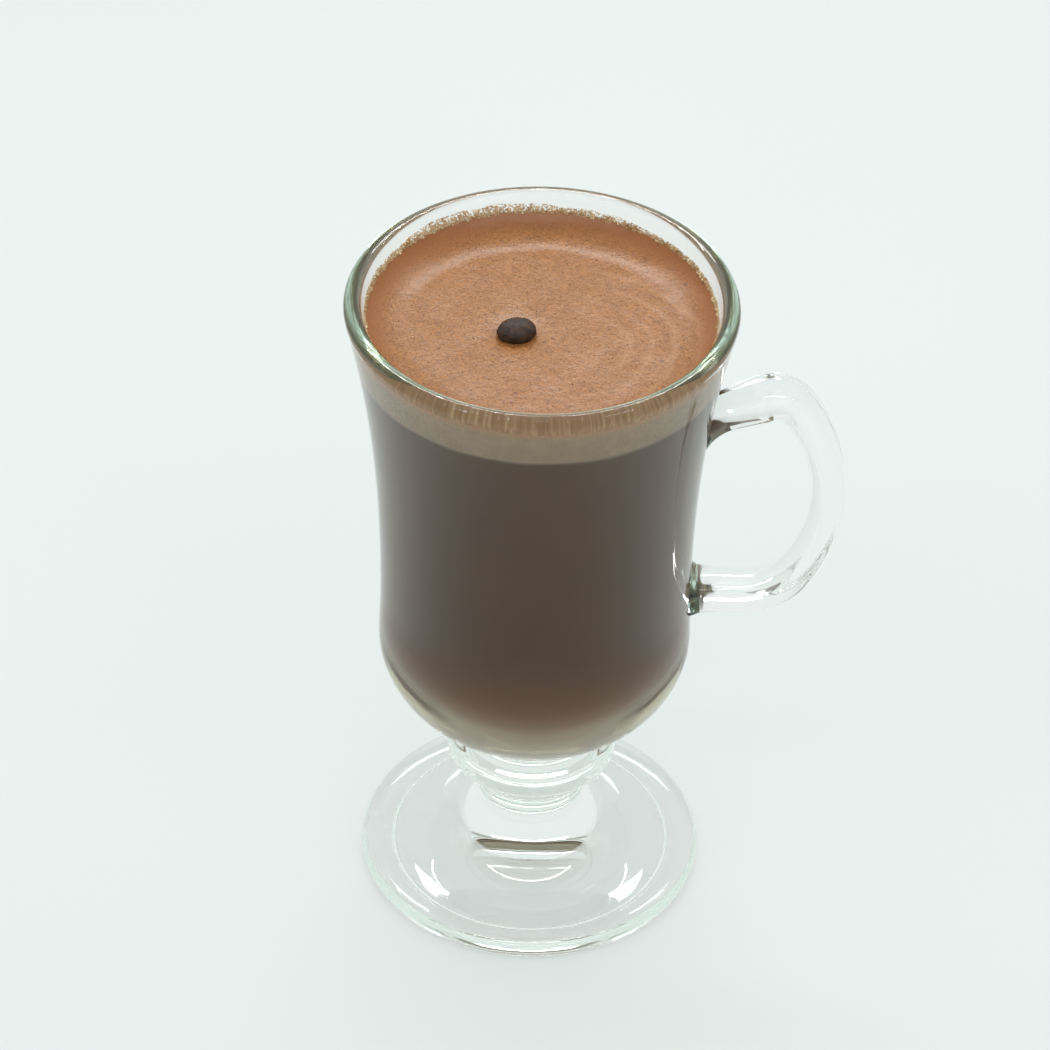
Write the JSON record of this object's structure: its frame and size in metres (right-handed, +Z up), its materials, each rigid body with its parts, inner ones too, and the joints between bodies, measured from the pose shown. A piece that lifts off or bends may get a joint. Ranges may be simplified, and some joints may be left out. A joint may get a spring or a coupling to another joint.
{
  "type": "hot chocolate in a footed glass mug",
  "caption": "Footed glass mug with one handle, filled with dark hot chocolate under a layer of brown froth, with a roasted bean resting on top.",
  "frame": {"origin": "centre of the foot's resting ring, on the table plane", "axes": "+Z up along the glass's axis, +X from the axis towards the handle"},
  "size_m": [0.1027, 0.0794, 0.149],
  "materials": {
    "glass": "clear pressed glass, faintly green in its thick rim and foot",
    "chocolate": "opaque dark brown drink, wet",
    "foam": "fine brown froth with tiny bubbles",
    "bean": "roasted bean, faint oily sheen"
  },
  "bodies": {
    "root": {"glass": "glass", "chocolate": "chocolate", "foam": "foam", "bean": "bean"}
  },
  "joints": []
}
